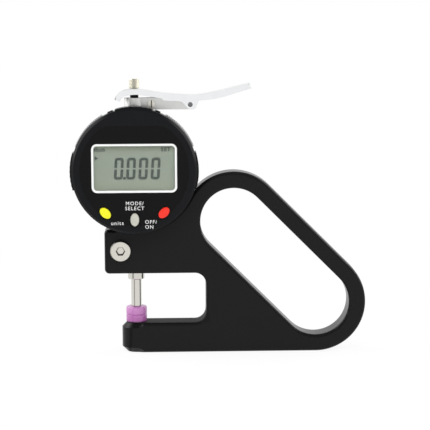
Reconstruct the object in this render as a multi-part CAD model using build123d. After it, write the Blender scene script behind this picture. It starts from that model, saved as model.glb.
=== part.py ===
from build123d import *
import math
import os

# Axes: X towards the handle, -Y towards the reader, Z up from the base, origin under the spindle

# Frame plate
plate_thickness = 14.0
lower_jaw_height = 14.6
throat_height = 24.0
upper_jaw_height = 21.4
throat_depth = 33.5
throat_corner_radius = 5.3
lower_jaw_reach = 7.0
upper_jaw_reach = 14.9
bow_radius = 24.0
bow_wall = 8.0
bow_rise = 39.4
bow_slant = 45.0
edge_round = 1.8
jaw_top_round_margin = 0.2
jaw_lip_round_margin = 0.4
nose_chamfer = 2.5
nose_cutter_radius = 6.0
clamp_slit_width = 1.0
relief_gap = 1.47

# Measuring anvils
anvil_radius = 5.0
lower_anvil_height = 3.5
lower_anvil_shank_radius = 2.0
lower_anvil_shank_length = 8.0
upper_anvil_height = 3.8
anvil_face_chamfer = 0.25
upper_anvil_round = 0.8
closing_gap = 0.02
seat_clearance = 0.01

# Clamp screw through the upper jaw
clamp_screw_offset = 7.2
clamp_screw_drop = 10.0
clamp_screw_radius = 2.5
clamp_screw_clearance = 0.15
clamp_screw_end_margin = 1.5
clamp_head_radius = 5.0
clamp_head_height = 3.0
clamp_head_round = 1.8
clamp_socket_flat = 4.0
clamp_socket_depth = 1.9
clamp_socket_turn = 30.0

# Spindle, its bushes and the two stems
spindle_radius = 2.5
rod_radius = 1.5
bush_clearance = 0.02
travel = 10.0
stem_radius = 4.0
stem_wall = 0.9
stem_drop = 3.3
stem_chamfer = 0.3
bush_length = 8.0
stud_radius = 1.25
stud_length = 2.4
upper_stem_radius = 3.0
upper_stem_reach = 8.9
collar_radius = 2.0
collar_height = 1.8
collar_clearance = 0.05

# Lifting cap on top of the spindle
cap_radius = 2.5
cap_height = 4.5
cap_chamfer = 0.4
cap_stud_radius = 1.0
cap_stud_length = 2.5

# Indicator case behind the reading head
housing_radius = 28.0
housing_lift = 0.9
housing_wall = 2.0
housing_front_wall = 1.2
cover_thickness = 1.8
cover_edge_round = 0.8
lower_boss_radius = 6.5
lower_boss_height = 9.0
upper_boss_radius = 5.0
upper_boss_depth = 9.0
cover_boss_radius = 2.8
cover_boss_gap = 0.8
cover_screw_radius = 1.25
cover_screw_head_radius = 2.4
cover_screw_length = 7.0
cover_screw_slot = 0.5
cover_slot_reach = 1.4

# Spigot that the reading head turns on
spigot_radius = 10.0
spigot_step = 1.5
spigot_wall = 1.5
turning_clearance = 0.05
retainer_reach = 2.0
retainer_thickness = 0.5

# Measuring system inside the case
carrier_width = 12.0
carrier_wall = 1.0
carrier_height = 12.0
carrier_gap = 10.0
lug_margin = 0.5
lug_height = 2.5
lug_width = 2.0
scale_width = 6.0
scale_thickness = 1.2
scale_end_gap = 0.4
scale_air_gap = 0.3
sensor_width = 16.0
sensor_height = 14.0
sensor_thickness = 1.2
guide_pin_radius = 1.0
guide_pin_seat = 1.5
guide_clearance = 0.05
rail_gap = 2.5
rail_width = 4.0
rail_reach = 3.0
rail_margin = 4.0
slot_end_margin = 0.3
spring_radius = 1.5
spring_wire = 0.25
spring_turns = 8
spring_offset = 9.0
spring_post_radius = 1.2
spring_post_rise = 7.8
spring_gap = 0.05

# Bracket clamped on the upper stem
bracket_height = 5.5
bracket_lift = 0.1
bracket_width = 7.0
bracket_ring_wall = 1.75
bracket_taper_start = 12.0
bracket_slit_length = 14.0
bracket_slit_width = 1.0
bracket_screw_x = 8.2
bracket_screw_radius = 1.0
bracket_screw_head_radius = 1.75
bracket_screw_head_height = 1.0
bracket_screw_slot = 0.5

# Lifting lever and its pivot
pivot_x = 26.6
pivot_rise = 2.3
pin_radius = 1.1
pin_clearance = 0.03
pin_proud = 0.3
lever_wall = 1.2
lever_side_gap = 0.3
lever_flange = 2.7
lever_tip_round = 2.2
fork_rise = 7.3
fork_cap_gap = 0.3
fork_slot_width = 3.6
fork_slot_margin = 0.5

# Side view of the lever, as steps from its pivot: the crown over the top, then the cheek under it
crown_tip = (-35.9, -4.8)
crown_shoulder = (-33.0, -1.2)
crown_hump_left = -28.7
crown_hump_right = -23.4
crown_neck = (-13.8, 4.9)
crown_saddle = (-4.1, 4.4)
crown_rise = (5.6, 5.0)
crown_hand = (15.3, 6.9)
crown_end = (28.4, 10.0)
cheek_left = ((-9.5, 2.3), (-6.0, 1.8), (-3.1, 0.4), (-1.9, -1.2), (0.0, -2.3))
cheek_right = ((1.9, -2.3), (3.0, -0.9), (3.6, 0.8), (4.8, 2.6))
cheek_top = 3.4
curve_steps = 24

# Reading head that turns in front of the case
head_overhang = 1.6
head_tooth_rise = 0.65
head_pad_rise = 0.65
head_lug_rise = 0.5
head_plate_gap = 0.6
head_case_gap = 0.2
head_front_wall = 1.8
head_front_chamfer = 1.1
head_wall = 3.0
head_plate_seat = 0.5
head_plate_thickness = 1.0
head_fit = 0.05
pad_angle = 41.0
pad_half_angle = 19.0
pad_front_rise = 0.1
lug_angle = 68.0
lug_half_angle = 2.5
pad_depth = 5.2
pad_rib_count = 20
pad_groove_depth = 0.5
pad_groove_share = 0.4
tooth_zone_count = 4
tooth_zone_half_angle = 17.0
tooth_count = 8
tooth_depth = 0.9
tooth_height = 1.0
tooth_share = 0.45

# Face of the reading head
label_margin = 4.0
label_top_margin = 4.3
label_corner_radius = 10.0
label_thickness = 0.25
window_side_margin = 5.6
window_corner_margin = 1.77
window_rise = 1.5
window_corner_radius = 2.6
window_border = 1.0
window_proud = 0.15
lens_recess = 0.5
lcd_margin = 1.1
lcd_gap = 0.3
board_gap = 0.6
board_thickness = 1.2
board_boss_radius = 1.5
board_boss_edge_margin = 2.2
board_boss_window_margin = 4.0
board_boss_low_x = 7.5
board_boss_low_margin = 3.6
board_screw_radius = 0.6
board_screw_head_radius = 1.2
board_screw_head_height = 0.7
board_screw_end_margin = 0.7
battery_radius = 10.0
battery_thickness = 3.0
battery_edge_margin = 4.0
battery_air_gap = 0.45
battery_holder_wall = 1.5
battery_holder_height = 2.4

# Push buttons
button_long = 3.05
button_short = 2.05
button_ring_margin = 1.75
button_spread = 35.2
button_slant = 45.0
middle_button_margin = 2.9
button_clearance = 0.1
button_ring_width = 0.7
button_ring_depth = 0.5
button_proud = 0.6
button_round = 0.5
button_flange = 0.5
button_flange_thickness = 1.1
button_flange_gap = 0.1
button_travel = 0.5
button_pad_gap = 0.1
button_pad_low_margin = 0.6
button_pad_high_margin = 9.4
button_pad_side_margin = 7.6
button_pad_base = 0.4
button_dome_radius = 1.4
button_dome_height = 0.2

# Heights and centres worked out from the sizes above
plate_front = -plate_thickness / 2
upper_jaw_top_radius = edge_round + jaw_top_round_margin
upper_jaw_lip_radius = edge_round + jaw_lip_round_margin
throat_top = lower_jaw_height + throat_height
jaw_top = throat_top + upper_jaw_height
dial_z = jaw_top + housing_lift + housing_radius
relief_radius = housing_radius + relief_gap
bow_low_z = bow_radius
bow_high_z = bow_radius + bow_rise
bow_high_x = math.sqrt((bow_radius + relief_radius) ** 2 - (dial_z - bow_high_z) ** 2)
bow_low_x = bow_high_x + bow_rise / math.tan(math.radians(bow_slant))
clamp_screw_z = jaw_top - clamp_screw_drop

anvil_meeting_z = lower_jaw_height + lower_anvil_height
upper_anvil_bottom = anvil_meeting_z + closing_gap
spindle_bottom = upper_anvil_bottom + upper_anvil_height
stem_bottom = throat_top - stem_drop
housing_bottom = dial_z - housing_radius
housing_top = dial_z + housing_radius
stem_top = housing_bottom + lower_boss_height
stem_bore_radius = stem_radius - stem_wall
bracket_bottom = housing_top + bracket_lift
bracket_top = bracket_bottom + bracket_height
upper_stem_bottom = housing_top - upper_stem_reach
collar_top = bracket_top + collar_height
carrier_bottom = stem_top + carrier_gap
carrier_top = carrier_bottom + carrier_height
carrier_middle = (carrier_bottom + carrier_top) / 2
spindle_shoulder = (carrier_top + upper_stem_bottom - travel) / 2
scale_bottom = stem_top + scale_end_gap
scale_top = housing_top - upper_boss_depth - travel - scale_end_gap
cover_screw_circle = housing_radius - housing_wall - cover_boss_gap - cover_boss_radius

carrier_depth = 2 * (spindle_radius + carrier_wall)
scale_front = -carrier_depth / 2 - scale_thickness
sensor_back = scale_front - scale_air_gap
housing_inside = sensor_back - sensor_thickness
housing_front = housing_inside - housing_front_wall
housing_back = -housing_front
cover_back = housing_back + cover_thickness
spigot_neck_radius = spigot_radius - spigot_step
cable_hole_radius = spigot_neck_radius - spigot_wall
retainer_radius = spigot_radius + retainer_reach

pivot_z = bracket_bottom + pivot_rise
fork_top = pivot_z + fork_rise
cap_bottom = fork_top + fork_cap_gap
cap_top = cap_bottom + cap_height
lever_width = bracket_width + 2 * (lever_side_gap + lever_wall)

head_back = min(plate_front - head_plate_gap, housing_front - head_case_gap)
head_plate_front = head_back - head_plate_thickness
retainer_back = head_plate_front - turning_clearance
retainer_front = retainer_back - retainer_thickness
board_back = retainer_front - battery_air_gap - battery_thickness
board_front = board_back - board_thickness
pad_front = board_front - button_pad_base
dome_front = pad_front - button_dome_height
button_back = dome_front - button_pad_gap - button_travel
button_flange_front = button_back - button_flange_thickness
head_wall_back = button_flange_front - button_flange_gap
head_front = head_wall_back - head_front_wall
label_back = head_front + label_thickness
lens_front = head_front + lens_recess
lcd_front = head_wall_back + lcd_gap

head_rim_radius = housing_radius + head_overhang
head_radius = head_rim_radius + head_tooth_rise
head_pad_radius = head_rim_radius + head_pad_rise
head_lug_radius = head_rim_radius + head_lug_rise
head_inner_radius = head_rim_radius - head_wall
label_radius = head_rim_radius - label_margin
label_top = label_radius - label_top_margin
window_z = dial_z + window_rise
window_width = 2 * (label_radius - window_side_margin)
window_corner = label_radius - window_corner_margin
window_height = 2 * (math.sqrt(window_corner ** 2 - (window_width / 2) ** 2) - window_rise)
lcd_width = window_width + 2 * lcd_margin
lcd_height = window_height + 2 * lcd_margin
board_radius = head_inner_radius - board_gap
battery_z = dial_z + board_radius - battery_edge_margin - battery_radius
button_ring_radius = label_radius - button_ring_margin
middle_button_radius = label_radius - middle_button_margin


def upright(radius, bottom, top, x=0.0, y=0.0):
    """A round bar along Z."""
    bar = Cylinder(radius, top - bottom, align=(Align.CENTER, Align.CENTER, Align.MIN))
    return Pos(x, y, bottom) * bar


def crosswise(radius, front, back, x=0.0, z=dial_z):
    """A round bar along Y, on the dial's axis unless another place is given."""
    bar = Cylinder(radius, back - front, align=(Align.CENTER, Align.CENTER, Align.MIN))
    return Pos(x, front, z) * Rot(-90, 0, 0) * bar


def sideways(radius, left, right, z):
    """A round bar along X, in the spindle's plane."""
    bar = Cylinder(radius, right - left, align=(Align.CENTER, Align.CENTER, Align.MIN))
    return Pos(left, 0, z) * Rot(0, 90, 0) * bar


def block(x_low, x_high, y_low, y_high, z_low, z_high):
    """A box between two corners."""
    box = Box(x_high - x_low, y_high - y_low, z_high - z_low, align=(Align.MIN, Align.MIN, Align.MIN))
    return Pos(x_low, y_low, z_low) * box


def slab(shape, front, back):
    """A shape drawn in X and Z, made solid between two depths."""
    place = Plane(origin=(0, back, 0), x_dir=(1, 0, 0), z_dir=(0, -1, 0))
    return extrude(place * shape, amount=back - front)


def corner_at(shape, x, z):
    """The corner of a flat shape nearest to a place."""
    return shape.vertices().sort_by_distance((x, z, 0))[0]


def on_dial(radius, angle):
    """A place on the face, by its distance from the dial's axis and its angle from +X."""
    turn = math.radians(angle)
    return radius * math.cos(turn), dial_z + radius * math.sin(turn)


# Frame plate
def bow_slot(radius):
    """The slanted slot shape that the bow's outer and inner edges follow."""
    middle_x = (bow_high_x + bow_low_x) / 2
    middle_z = (bow_high_z + bow_low_z) / 2
    length = math.hypot(bow_low_x - bow_high_x, bow_high_z - bow_low_z)
    return Pos(middle_x, middle_z) * Rot(0, 0, -bow_slant) * SlotCenterToCenter(length, 2 * radius)


def plate_outline():
    throat_middle = (lower_jaw_height + throat_top) / 2
    jaws = Polygon(
        (-lower_jaw_reach, 0),
        (bow_low_x, 0),
        (bow_low_x, bow_low_z),
        (bow_high_x, bow_high_z),
        (0, dial_z),
        (0, jaw_top),
        (-upper_jaw_reach, jaw_top),
        (-upper_jaw_reach, throat_middle),
        (-lower_jaw_reach, throat_middle),
        align=None,
    )
    throat_left = -2 * upper_jaw_reach
    throat_width = throat_depth - throat_left
    throat = RectangleRounded(throat_width, throat_height, throat_corner_radius)
    throat = Pos(throat_depth - throat_width / 2, throat_middle) * throat
    shape = jaws + bow_slot(bow_radius) - throat - bow_slot(bow_radius - bow_wall)
    shape -= Pos(0, dial_z) * Circle(relief_radius)
    shape = fillet(corner_at(shape, -upper_jaw_reach, jaw_top), upper_jaw_top_radius)
    return fillet(corner_at(shape, -upper_jaw_reach, throat_top), upper_jaw_lip_radius)


def nose_waste():
    """What is milled off the lower jaw's end: a half-round nose with a wide chamfer that runs out."""
    half = plate_thickness / 2
    nose_x = half - lower_jaw_reach
    nose = upright(half, 0, lower_jaw_height, nose_x)
    nose = chamfer(nose.edges().filter_by(GeomType.CIRCLE), nose_chamfer)
    around = block(-lower_jaw_reach - half, nose_x, -plate_thickness, plate_thickness,
                   -half, lower_jaw_height + half)
    waste = around - nose
    cutter = Cone(nose_cutter_radius - nose_chamfer, nose_cutter_radius + nose_chamfer,
                  2 * nose_chamfer, align=(Align.CENTER, Align.CENTER, Align.MIN))
    cutter_y = half - nose_chamfer + nose_cutter_radius
    for side in (-1, 1):
        top_cut = Pos(nose_x, side * cutter_y, lower_jaw_height - nose_chamfer) * cutter
        bottom_cut = Pos(nose_x, side * cutter_y, nose_chamfer) * Rot(180, 0, 0) * cutter
        waste = waste + top_cut + bottom_cut
    return waste


def make_frame():
    half = plate_thickness / 2
    plate = slab(plate_outline(), -half, half)
    sides = plate.faces().filter_by(Axis.Y)
    front_face = sides.sort_by(Axis.Y)[0]
    back_face = sides.sort_by(Axis.Y)[-1]
    plate = fillet(front_face.edges() + back_face.edges(), edge_round)
    plate -= nose_waste()
    plate -= upright(stem_radius + seat_clearance, throat_top - half, jaw_top + half)
    plate -= block(-upper_jaw_reach - half, 0, -clamp_slit_width / 2, clamp_slit_width / 2,
                   throat_top - half, jaw_top + half)
    plate -= crosswise(clamp_screw_radius + clamp_screw_clearance, -half, 0,
                       -clamp_screw_offset, clamp_screw_z)
    plate -= crosswise(clamp_screw_radius + seat_clearance, 0, half, -clamp_screw_offset, clamp_screw_z)
    plate -= upright(lower_anvil_shank_radius + seat_clearance,
                     lower_jaw_height - lower_anvil_shank_length - seat_clearance, lower_jaw_height)
    return plate


def make_clamp_screw():
    """Button-head socket screw that closes the slit on the stem."""
    head = crosswise(clamp_head_radius, plate_front - clamp_head_height, plate_front,
                     -clamp_screw_offset, clamp_screw_z)
    front_edge = head.edges().filter_by(GeomType.CIRCLE).sort_by(Axis.Y)[0]
    head = fillet(front_edge, clamp_head_round)
    socket = RegularPolygon(clamp_socket_flat / 2, 6, major_radius=False)
    socket = Pos(-clamp_screw_offset, clamp_screw_z) * Rot(0, 0, clamp_socket_turn) * socket
    head_front_y = plate_front - clamp_head_height
    head -= slab(socket, head_front_y, head_front_y + clamp_socket_depth)
    shank = crosswise(clamp_screw_radius, plate_front, -plate_front - clamp_screw_end_margin,
                      -clamp_screw_offset, clamp_screw_z)
    return head + shank


# Anvils and spindle
def make_lower_anvil():
    disc = upright(anvil_radius, lower_jaw_height, anvil_meeting_z)
    disc = chamfer(disc.edges().filter_by(GeomType.CIRCLE).sort_by(Axis.Z)[-1], anvil_face_chamfer)
    shank = upright(lower_anvil_shank_radius, lower_jaw_height - lower_anvil_shank_length,
                    lower_jaw_height)
    return disc + shank


def make_upper_anvil():
    disc = upright(anvil_radius, upper_anvil_bottom, spindle_bottom)
    rims = disc.edges().filter_by(GeomType.CIRCLE).sort_by(Axis.Z)
    disc = chamfer(rims[0], anvil_face_chamfer)
    rims = disc.edges().filter_by(GeomType.CIRCLE).sort_by(Axis.Z)
    disc = fillet(rims[-1], upper_anvil_round)
    return disc - upright(stud_radius + seat_clearance, spindle_bottom - stud_length - seat_clearance,
                          spindle_bottom)


def make_spindle():
    bar = upright(spindle_radius, spindle_bottom, spindle_shoulder)
    bar = chamfer(bar.edges().filter_by(GeomType.CIRCLE), stem_chamfer)
    stud = upright(stud_radius, spindle_bottom - stud_length, spindle_bottom)
    rod = upright(rod_radius, spindle_shoulder, cap_bottom)
    cap_stud = upright(cap_stud_radius, cap_bottom, cap_bottom + cap_stud_length)
    return bar + stud + rod + cap_stud


def make_top_cap():
    cap = upright(cap_radius, cap_bottom, cap_top)
    cap = chamfer(cap.edges().filter_by(GeomType.CIRCLE), cap_chamfer)
    return cap - upright(cap_stud_radius + seat_clearance, cap_bottom,
                         cap_bottom + cap_stud_length + seat_clearance)


def make_stem():
    tube = upright(stem_radius, stem_bottom, stem_top)
    tube = chamfer(tube.edges().filter_by(GeomType.CIRCLE), stem_chamfer)
    return tube - upright(stem_bore_radius, stem_bottom, stem_top)


def make_bush(bottom):
    bush = upright(stem_bore_radius, bottom, bottom + bush_length)
    return bush - upright(spindle_radius + bush_clearance, bottom, bottom + bush_length)


def make_upper_stem():
    tube = upright(upper_stem_radius, upper_stem_bottom, bracket_top)
    tube = chamfer(tube.edges().filter_by(GeomType.CIRCLE), stem_chamfer)
    return tube - upright(rod_radius + bush_clearance, upper_stem_bottom, bracket_top)


def make_dust_collar():
    ring = upright(collar_radius, bracket_top, collar_top)
    ring = chamfer(ring.edges().filter_by(GeomType.CIRCLE).sort_by(Axis.Z)[-1], stem_chamfer)
    return ring - upright(rod_radius + collar_clearance, bracket_top, collar_top)


# Indicator case
def cover_screw_places():
    """The cover's four screws, beside the guide rail and close to the case's wall."""
    x = carrier_width / 2 + rail_gap + rail_width + cover_boss_gap + cover_boss_radius
    rise = math.sqrt(cover_screw_circle ** 2 - x ** 2)
    return [(side * x, dial_z + up * rise) for side in (-1, 1) for up in (-1, 1)]


def make_rear_housing():
    case = crosswise(housing_radius, housing_front, housing_back)
    case -= crosswise(housing_radius - housing_wall, housing_inside, housing_back)
    case += upright(lower_boss_radius, housing_bottom + housing_wall / 2, stem_top)
    case += upright(upper_boss_radius, housing_top - upper_boss_depth, housing_top - housing_wall / 2)
    for x, z in cover_screw_places():
        case += crosswise(cover_boss_radius, housing_inside - housing_front_wall / 2, housing_back, x, z)
        case -= crosswise(cover_screw_radius + seat_clearance,
                          cover_back - cover_screw_length - seat_clearance, housing_back, x, z)
    case += crosswise(spigot_radius, retainer_back, housing_front)
    case += crosswise(spigot_neck_radius, retainer_front, retainer_back)
    case -= crosswise(cable_hole_radius, head_front, housing_inside)
    case -= upright(stem_radius + seat_clearance, housing_bottom - housing_lift, stem_top)
    case -= upright(upper_stem_radius + seat_clearance, upper_stem_bottom - housing_wall,
                    housing_top + bracket_lift)
    return case


def make_head_retainer():
    """Flat ring on the spigot that keeps the reading head on."""
    ring = crosswise(retainer_radius, retainer_front, retainer_back)
    return ring - crosswise(spigot_neck_radius + seat_clearance, retainer_front, retainer_back)


def make_back_cover():
    cover = crosswise(housing_radius, housing_back, cover_back)
    cover = fillet(cover.edges().filter_by(GeomType.CIRCLE).sort_by(Axis.Y)[-1], cover_edge_round)
    for x, z in cover_screw_places():
        cover -= countersunk(x, z, seat_clearance)
    return cover


def countersunk(x, z, clearance):
    """A countersunk screw's body, set flush in the back cover."""
    shank = crosswise(cover_screw_radius + clearance, cover_back - cover_screw_length - clearance,
                      cover_back, x, z)
    head_height = cover_screw_head_radius - cover_screw_radius
    head = Cone(cover_screw_radius + clearance, cover_screw_head_radius + clearance, head_height,
                align=(Align.CENTER, Align.CENTER, Align.MIN))
    return shank + Pos(x, cover_back - head_height, z) * Rot(-90, 0, 0) * head


def make_cover_screws():
    screws = []
    half_slot = cover_screw_slot / 2
    reach = cover_slot_reach
    depth = cover_screw_slot
    for x, z in cover_screw_places():
        screw = countersunk(x, z, 0)
        screw -= block(x - reach, x + reach, cover_back - depth, cover_back, z - half_slot, z + half_slot)
        screw -= block(x - half_slot, x + half_slot, cover_back - depth, cover_back, z - reach, z + reach)
        screws.append(screw)
    return screws


# Measuring system inside the case
def make_scale_carrier():
    half_width = carrier_width / 2
    half_depth = carrier_depth / 2
    lug_end = spring_offset + spring_radius + spring_wire + lug_margin
    body = block(-half_width, half_width, -half_depth, half_depth, carrier_bottom, carrier_top)
    body += block(-lug_end, -half_width, -lug_width / 2, lug_width / 2,
                  carrier_middle, carrier_middle + lug_height)
    body -= upright(spindle_radius, carrier_bottom, carrier_top)
    return body - sideways(guide_pin_radius, half_width - guide_pin_seat, half_width, carrier_middle)


def make_guide_pin():
    """Pin that runs in the rail's slot and keeps the spindle from turning."""
    start = carrier_width / 2 - guide_pin_seat
    end = carrier_width / 2 + rail_gap + rail_width - slot_end_margin
    return sideways(guide_pin_radius, start, end, carrier_middle)


def make_guide_rail():
    x_low = carrier_width / 2 + rail_gap
    x_high = x_low + rail_width
    slot_half = guide_pin_radius + guide_clearance
    slot_low = carrier_middle - guide_pin_radius - slot_end_margin
    slot_high = carrier_middle + travel + guide_pin_radius + slot_end_margin
    rail = block(x_low, x_high, housing_inside, rail_reach,
                 slot_low - rail_margin, slot_high + rail_margin)
    return rail - block(x_low, x_high, -slot_half, slot_half, slot_low, slot_high)


def make_encoder_scale():
    """Glass scale on the carrier's front face."""
    half_width = scale_width / 2
    return block(-half_width, half_width, scale_front, -carrier_depth / 2, scale_bottom, scale_top)


def make_reading_sensor():
    """Sensor board on the case's front wall, facing the scale."""
    half_width = sensor_width / 2
    low = scale_bottom + travel
    return block(-half_width, half_width, housing_inside, sensor_back, low, low + sensor_height)


def spring_bottom():
    return housing_bottom + spring_post_rise + spring_post_radius + spring_gap + spring_wire


def make_spring_post():
    return crosswise(spring_post_radius, housing_inside, lug_width, -spring_offset,
                     housing_bottom + spring_post_rise)


def make_return_spring():
    """Tension spring between the post and the carrier's lug."""
    low = spring_bottom()
    high = carrier_middle - spring_gap - spring_wire
    coil_height = high - low
    coil = Helix(coil_height / spring_turns, coil_height, spring_radius)
    start = Plane(origin=coil @ 0, z_dir=coil % 0)
    wire = sweep(start * Circle(spring_wire), path=coil)
    return Pos(-spring_offset, 0, low) * wire


# Bracket, pivot pin and lifting lever
def make_lever_bracket():
    half_width = bracket_width / 2
    end_radius = pivot_z - bracket_bottom
    bar = Polygon(
        (0, bracket_bottom),
        (pivot_x, bracket_bottom),
        (pivot_x, pivot_z + end_radius),
        (bracket_taper_start, bracket_top),
        (0, bracket_top),
        align=None,
    )
    bar += Pos(pivot_x, pivot_z) * Circle(end_radius)
    bracket = slab(bar, -half_width, half_width)
    bracket += upright(upper_stem_radius + bracket_ring_wall, bracket_bottom, bracket_top)
    bracket -= upright(upper_stem_radius + seat_clearance, bracket_bottom, bracket_top)
    bracket -= block(0, bracket_slit_length, -bracket_slit_width / 2, bracket_slit_width / 2,
                     bracket_bottom, bracket_top)
    screw_z = (bracket_bottom + bracket_top) / 2
    bracket -= crosswise(bracket_screw_radius + seat_clearance, -half_width, half_width,
                         bracket_screw_x, screw_z)
    return bracket - crosswise(pin_radius, -half_width, half_width, pivot_x, pivot_z)


def make_bracket_screw():
    """Slotted cheese-head screw that clamps the bracket on the stem."""
    half_width = bracket_width / 2
    screw_z = (bracket_bottom + bracket_top) / 2
    front = -half_width - bracket_screw_head_height
    head = crosswise(bracket_screw_head_radius, front, -half_width, bracket_screw_x, screw_z)
    half_slot = bracket_screw_slot / 2
    head -= block(bracket_screw_x - half_slot, bracket_screw_x + half_slot,
                  front, front + bracket_screw_slot,
                  screw_z - bracket_screw_head_radius, screw_z + bracket_screw_head_radius)
    return head + crosswise(bracket_screw_radius, -half_width, half_width, bracket_screw_x, screw_z)


def make_lever_pin():
    half = lever_width / 2 + pin_proud
    pin = crosswise(pin_radius, -half, half, pivot_x, pivot_z)
    return chamfer(pin.edges().filter_by(GeomType.CIRCLE), pin_proud / 2)


def from_pivot(step):
    return pivot_x + step[0], pivot_z + step[1]


def lever_crown():
    """The curve along the top of the lever: a hump over the stem, a saddle at the pivot, a raised hand end."""
    return Spline(
        (pivot_x + crown_tip[0], fork_top + crown_tip[1]),
        (pivot_x + crown_shoulder[0], fork_top + crown_shoulder[1]),
        (pivot_x + crown_hump_left, fork_top),
        (pivot_x + crown_hump_right, fork_top),
        from_pivot(crown_neck),
        from_pivot(crown_saddle),
        from_pivot(crown_rise),
        from_pivot(crown_hand),
        from_pivot(crown_end),
    )


def below(curve, depth):
    """The points of a curve set parallel under another."""
    points = []
    for step in range(curve_steps + 1):
        place = curve @ (step / curve_steps)
        heading = curve % (step / curve_steps)
        points.append((place.X + heading.Y * depth, place.Y - heading.X * depth))
    return points


def band_under(curve, depth):
    """The flat shape between a curve and its parallel."""
    lower = Spline(*below(curve, depth))
    left = Line(curve @ 0, lower @ 0)
    right = Line(curve @ 1, lower @ 1)
    return make_face([curve, right, lower, left])


def lever_cheek():
    """The tab on each side of the lever that carries the pivot."""
    left = Spline(*[from_pivot(step) for step in cheek_left])
    right = Spline(*[from_pivot(step) for step in cheek_right])
    top_right = (right @ 1).X, pivot_z + cheek_top
    top_left = (left @ 0).X, pivot_z + cheek_top
    return make_face([
        left,
        Line(left @ 1, right @ 0),
        right,
        Polyline(right @ 1, top_right, top_left, left @ 0),
    ])


def make_lifting_lever():
    """Folded channel: a forked web on top, a flange down each side and a cheek at the pivot."""
    crown = lever_crown()
    half_width = lever_width / 2
    inner = half_width - lever_wall
    side = band_under(crown, lever_flange) + lever_cheek()
    lever = slab(side, -half_width, half_width)
    lever -= slab(side, -inner, inner) - slab(band_under(crown, lever_wall), -inner, inner)
    tip_x = pivot_x + crown_tip[0]
    length = crown_end[0] - crown_tip[0] + 2 * lever_wall
    plan = RectangleRounded(length, lever_width, lever_tip_round)
    below_lever = bracket_bottom - lever_wall
    plan = Pos(tip_x - lever_wall + length / 2, 0, below_lever) * plan
    lever = lever & extrude(plan, amount=cap_top - below_lever)
    slot_half = fork_slot_width / 2
    slot_end = rod_radius + fork_slot_margin
    slot = block(tip_x - lever_width, slot_end - slot_half, -slot_half, slot_half, pivot_z, cap_top)
    slot += upright(slot_half, pivot_z, cap_top, slot_end - slot_half)
    lever -= slot
    return lever - crosswise(pin_radius + pin_clearance, -half_width, half_width, pivot_x, pivot_z)


# Reading head
def sector(radius, middle, half_angle):
    """A wedge of the face about the dial's axis, cut from a disc."""
    far = 2 * radius
    low = math.radians(middle - half_angle)
    high = math.radians(middle + half_angle)
    wedge = Polygon(
        (0, dial_z),
        (far * math.cos(low), dial_z + far * math.sin(low)),
        (far * math.cos(high), dial_z + far * math.sin(high)),
        align=None,
    )
    return wedge & (Pos(0, dial_z) * Circle(radius))


def notched_sector(radius, middle, half_angle, count, depth, share):
    """A sector with a row of straight notches in its outer edge."""
    shape = sector(radius, middle, half_angle)
    pitch = 2 * half_angle / count
    width = math.radians(pitch) * radius * share
    notch = Rectangle(2 * depth, width)
    for step in range(count):
        angle = middle - half_angle + pitch * (step + 0.5)
        x, z = on_dial(radius, angle)
        shape -= Pos(x, z) * Rot(0, 0, angle) * notch
    return shape


def mirrored(angle):
    """An angle and its mirror images across the face's upright and level lines."""
    return angle, 180 - angle, 180 + angle, 360 - angle


def button_places():
    """Centre and slant of the three oval buttons."""
    left_x, left_z = on_dial(button_ring_radius, 270 - button_spread)
    right_x, right_z = on_dial(button_ring_radius, 270 + button_spread)
    return {
        "units_button": (left_x, left_z, -button_slant),
        "preset_button": (0.0, dial_z - middle_button_radius, 90.0),
        "zero_button": (right_x, right_z, button_slant),
    }


def button_oval(place, extra):
    x, z, slant = place
    return Pos(x, z) * Rot(0, 0, slant) * Ellipse(button_long + extra, button_short + extra)


def label_outline(extra):
    far = 2 * label_radius
    shape = Pos(0, dial_z) * Circle(label_radius + extra)
    top = dial_z + label_top + extra
    shape -= Pos(0, top + far / 2) * Rectangle(2 * far, far)
    half_chord = math.sqrt((label_radius + extra) ** 2 - (label_top + extra) ** 2)
    shape = fillet(corner_at(shape, -half_chord, top), label_corner_radius)
    return fillet(corner_at(shape, half_chord, top), label_corner_radius)


def window_shape(border):
    """The display window's outline, set in by a border."""
    return Pos(0, window_z) * RectangleRounded(
        window_width - 2 * border, window_height - 2 * border, window_corner_radius - border)


def board_boss_places():
    high_z = window_z + lcd_height / 2 + board_boss_window_margin
    high_x = math.sqrt((board_radius - board_boss_edge_margin) ** 2 - (high_z - dial_z) ** 2)
    low_z = window_z - window_height / 2 - board_boss_low_margin
    return [(side * x, z) for x, z in ((high_x, high_z), (board_boss_low_x, low_z)) for side in (-1, 1)]


def grip_taper():
    """The cone that the grips' outer faces lie on, wider towards the back."""
    cone = Cone(head_rim_radius + pad_front_rise, head_pad_radius, pad_depth,
                align=(Align.CENTER, Align.CENTER, Align.MIN))
    return Pos(0, head_back - pad_depth, dial_z) * Rot(-90, 0, 0) * cone


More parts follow.
